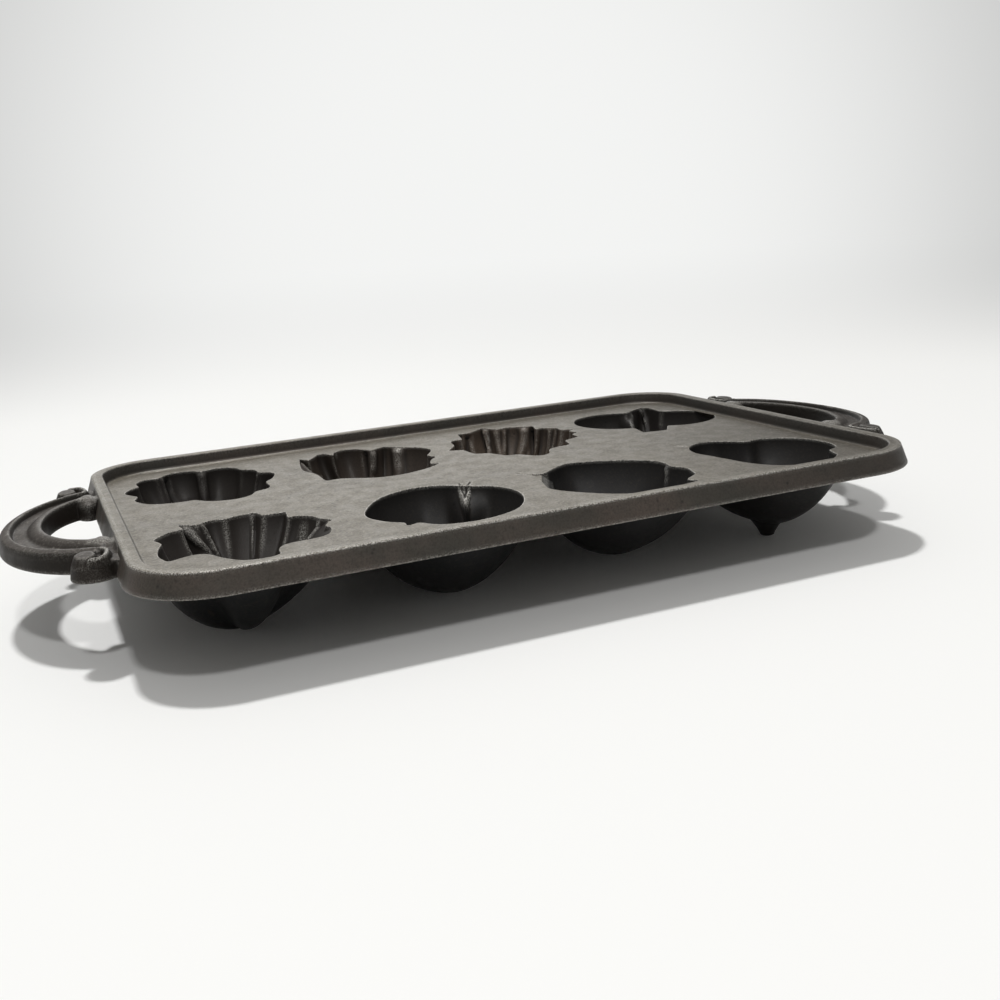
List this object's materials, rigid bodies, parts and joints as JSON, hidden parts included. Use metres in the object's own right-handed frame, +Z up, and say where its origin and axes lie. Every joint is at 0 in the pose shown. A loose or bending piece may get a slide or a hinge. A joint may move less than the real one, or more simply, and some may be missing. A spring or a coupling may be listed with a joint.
{
  "type": "fruit cornbread pan",
  "caption": "Cast iron cornbread pan: a shallow rimmed tray with fruit-shaped cavities and two pierced scroll handles.",
  "frame": {"origin": "on the surface the pan stands on, under the middle of the pan", "axes": "+X along the pan's length towards the handle on the right of the picture, -Y towards the viewer of the picture, +Z up"},
  "size_m": [0.4136, 0.2314, 0.044],
  "materials": {
    "deck": "seasoned, satin, worn grey on top",
    "rim": "seasoned, satin, sand-cast grain",
    "moulds": "seasoned, dark, satin",
    "handles": "seasoned, satin, sand-cast grain"
  },
  "bodies": {
    "root": {"deck": "deck", "rim": "rim", "grape_mould": "moulds", "apple_mould": "moulds", "pomegranate_mould": "moulds", "pear_mould": "moulds", "bramble_mould": "moulds", "strawberry_mould": "moulds", "pineapple_mould": "moulds", "cherry_mould": "moulds", "left_handle": "handles", "right_handle": "handles"}
  },
  "joints": []
}
